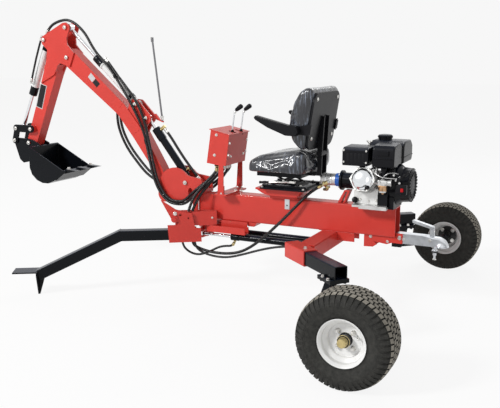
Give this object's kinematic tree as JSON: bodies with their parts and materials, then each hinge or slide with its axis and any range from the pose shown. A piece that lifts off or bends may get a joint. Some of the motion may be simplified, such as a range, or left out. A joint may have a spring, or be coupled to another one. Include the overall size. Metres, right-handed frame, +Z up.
{
  "type": "towable backhoe",
  "caption": "Two-wheeled towable backhoe with an operator seat, petrol engine and pump, ball coupler, splayed stabiliser leg and a swinging boom, stick and bucket.",
  "frame": {"origin": "on the ground, at the middle of the parked machine's length and width", "axes": "+X from the digging arm towards the tow coupler, +Y to the right of a seated operator facing the arm, +Z up"},
  "size_m": [3.1015, 2.351, 1.7085],
  "materials": {
    "tyre_rubber": "dusty moulded rubber",
    "white_paint": "gloss white paint",
    "hub_black": "gloss black paint",
    "red_paint": "gloss bright red paint",
    "black_paint": "gloss black paint",
    "blue_paint": "gloss blue",
    "galvanised_steel": "galvanised",
    "black_vinyl": "wrinkled black vinyl",
    "black_plastic": "moulded black plastic",
    "cast_aluminium": "die-cast, lightly tumbled",
    "engine_black": "semi-gloss black",
    "chrome_rod": "polished hard chrome",
    "white_barrel": "gloss white paint",
    "hose_rubber": "black hydraulic hose",
    "dark_steel": "zinc and dark steel"
  },
  "bodies": {
    "frame": {"air_cleaner": "engine_black", "axle_arm_left": "black_paint", "axle_arm_right": "black_paint", "axle_crossmember": "red_paint", "beam_bracket": "red_paint", "control_levers": "dark_steel", "control_stand": "red_paint", "crankcase": "cast_aluminium", "fan_housing": "engine_black", "fuel_tank": "engine_black", "head_frame": "red_paint", "hoses_frame": "hose_rubber", "hub_carrier_left": "black_paint", "hub_carrier_right": "black_paint", "leg_bracket_left": "red_paint", "leg_bracket_right": "red_paint", "main_beam": "red_paint", "muffler": "engine_black", "pump": "cast_aluminium", "pump_bell": "black_paint", "pump_ring": "blue_paint", "pump_strut": "red_paint", "seat_back_shell": "black_plastic", "seat_backrest": "black_vinyl", "seat_cushion": "black_vinyl", "seat_pedestal": "red_paint", "seat_slides": "black_paint", "stabiliser_leg": "black_paint", "swing_barrel_left": "black_paint", "swing_barrel_right": "black_paint", "tow_coupler": "galvanised_steel", "tow_mount": "red_paint", "valve_block": "black_paint"},
    "wheel_left": {"tyre_left": "tyre_rubber", "rim_left": "white_paint", "hub_left": "hub_black"},
    "wheel_right": {"tyre_right": "tyre_rubber", "rim_right": "white_paint", "hub_right": "hub_black"},
    "swing_post": {"swing_post": "red_paint", "hoses_post": "hose_rubber"},
    "boom": {"boom": "red_paint", "marker_rod": "chrome_rod", "hoses_boom": "hose_rubber"},
    "stick": {"stick": "red_paint", "hoses_stick": "hose_rubber"},
    "bucket": {"bucket": "black_paint"},
    "guide_link": {"guide_link": "black_paint"},
    "push_link": {"push_link": "black_paint"},
    "boom_barrel": {"boom_barrel": "black_paint", "hose_boom_cylinder": "hose_rubber"},
    "boom_rod": {"boom_rod": "chrome_rod"},
    "dipper_barrel": {"dipper_barrel": "white_barrel"},
    "dipper_rod": {"dipper_rod": "chrome_rod"},
    "bucket_barrel": {"bucket_barrel": "white_barrel"},
    "bucket_rod": {"bucket_rod": "chrome_rod"},
    "swing_rod_left": {"swing_rod_left": "chrome_rod"},
    "swing_rod_right": {"swing_rod_right": "chrome_rod"},
    "armrest_left": {"armrest_left": "black_plastic"},
    "armrest_right": {"armrest_right": "black_plastic"}
  },
  "joints": [
    {"name": "wheel_left_spin", "type": "hinge", "parent": "frame", "child": "wheel_left", "pos_m": [1.32225, -1.073, 0.2285], "axis": [0, 1, 0], "continuous": true},
    {"name": "wheel_right_spin", "type": "hinge", "parent": "frame", "child": "wheel_right", "pos_m": [1.32225, 1.073, 0.2285], "axis": [0, 1, 0], "continuous": true},
    {"name": "swing", "type": "hinge", "parent": "frame", "child": "swing_post", "pos_m": [-0.00775, 0, 0.5], "axis": [0, 0, -1], "range_deg": [-48, 48]},
    {"name": "boom_lift", "type": "hinge", "parent": "swing_post", "child": "boom", "pos_m": [-0.26975, 0, 0.585], "axis": [0, -1, 0], "range_deg": [0, 66]},
    {"name": "stick_crowd", "type": "hinge", "parent": "boom", "child": "stick", "pos_m": [-1.03475, 0, 1.455], "axis": [0, -1, 0], "range_deg": [-75, 20]},
    {"name": "bucket_curl", "type": "hinge", "parent": "stick", "child": "bucket", "pos_m": [-1.40675, 0, 0.862], "axis": [0, -1, 0], "range_deg": [-65, 25]},
    {"name": "guide_link_pivot", "type": "hinge", "parent": "stick", "child": "guide_link", "pos_m": [-1.36875, 0, 0.962], "axis": [0, -1, 0], "range_deg": [-55.9, 21.81]},
    {"name": "push_link_pivot", "type": "hinge", "parent": "guide_link", "child": "push_link", "pos_m": [-1.50175, 0, 0.963], "axis": [0, -1, 0], "range_deg": [-27.65, 71.08]},
    {"name": "boom_barrel_pivot", "type": "hinge", "parent": "swing_post", "child": "boom_barrel", "pos_m": [-0.11475, 0, 0.67], "axis": [0, -1, 0], "range_deg": [-0.5, 56.45]},
    {"name": "boom_rod_slide", "type": "slide", "parent": "boom_barrel", "child": "boom_rod", "axis": [-0.6133, 0, 0.7899], "range_m": [-0.0005, 0.16912]},
    {"name": "dipper_barrel_pivot", "type": "hinge", "parent": "boom", "child": "dipper_barrel", "pos_m": [-0.50675, 0, 1.155], "axis": [0, -1, 0], "range_deg": [-6.89, 2.2]},
    {"name": "dipper_rod_slide", "type": "slide", "parent": "dipper_barrel", "child": "dipper_rod", "axis": [-0.7295, 0, 0.684], "range_m": [-0.23236, 0.06233]},
    {"name": "bucket_barrel_pivot", "type": "hinge", "parent": "stick", "child": "bucket_barrel", "pos_m": [-1.22575, 0, 1.573], "axis": [0, -1, 0], "range_deg": [-1.47, 0.87]},
    {"name": "bucket_rod_slide", "type": "slide", "parent": "bucket_barrel", "child": "bucket_rod", "axis": [-0.4122, 0, -0.9111], "range_m": [-0.1242, 0.04808]},
    {"name": "swing_rod_left_slide", "type": "slide", "parent": "frame", "child": "swing_rod_left", "axis": [-1, 0, 0], "range_m": [-0.04909, 0.04909]},
    {"name": "swing_rod_right_slide", "type": "slide", "parent": "frame", "child": "swing_rod_right", "axis": [-1, 0, 0], "range_m": [-0.04909, 0.04909]},
    {"name": "armrest_left_tilt", "type": "hinge", "parent": "frame", "child": "armrest_left", "pos_m": [0.71725, -0.265, 1.048], "axis": [0, 1, 0], "range_deg": [0, 80]},
    {"name": "armrest_right_tilt", "type": "hinge", "parent": "frame", "child": "armrest_right", "pos_m": [0.71725, 0.265, 1.048], "axis": [0, 1, 0], "range_deg": [0, 80]}
  ],
  "couplings": [
    {"joint": "guide_link_pivot", "follows": "bucket_curl", "ratio": 0.8523},
    {"joint": "push_link_pivot", "follows": "bucket_curl", "ratio": -1.0859},
    {"joint": "boom_barrel_pivot", "follows": "boom_lift", "ratio": 0.8478},
    {"joint": "boom_rod_slide", "follows": "boom_lift", "m_per_rad": 0.14638},
    {"joint": "dipper_barrel_pivot", "follows": "stick_crowd", "ratio": 0.0852},
    {"joint": "dipper_rod_slide", "follows": "stick_crowd", "m_per_rad": 0.17713},
    {"joint": "bucket_barrel_pivot", "follows": "bucket_curl", "ratio": 0.0149},
    {"joint": "bucket_rod_slide", "follows": "bucket_curl", "m_per_rad": 0.10904},
    {"joint": "swing_rod_left_slide", "follows": "swing", "m_per_rad": 0.058},
    {"joint": "swing_rod_right_slide", "follows": "swing", "m_per_rad": -0.058}
  ]
}
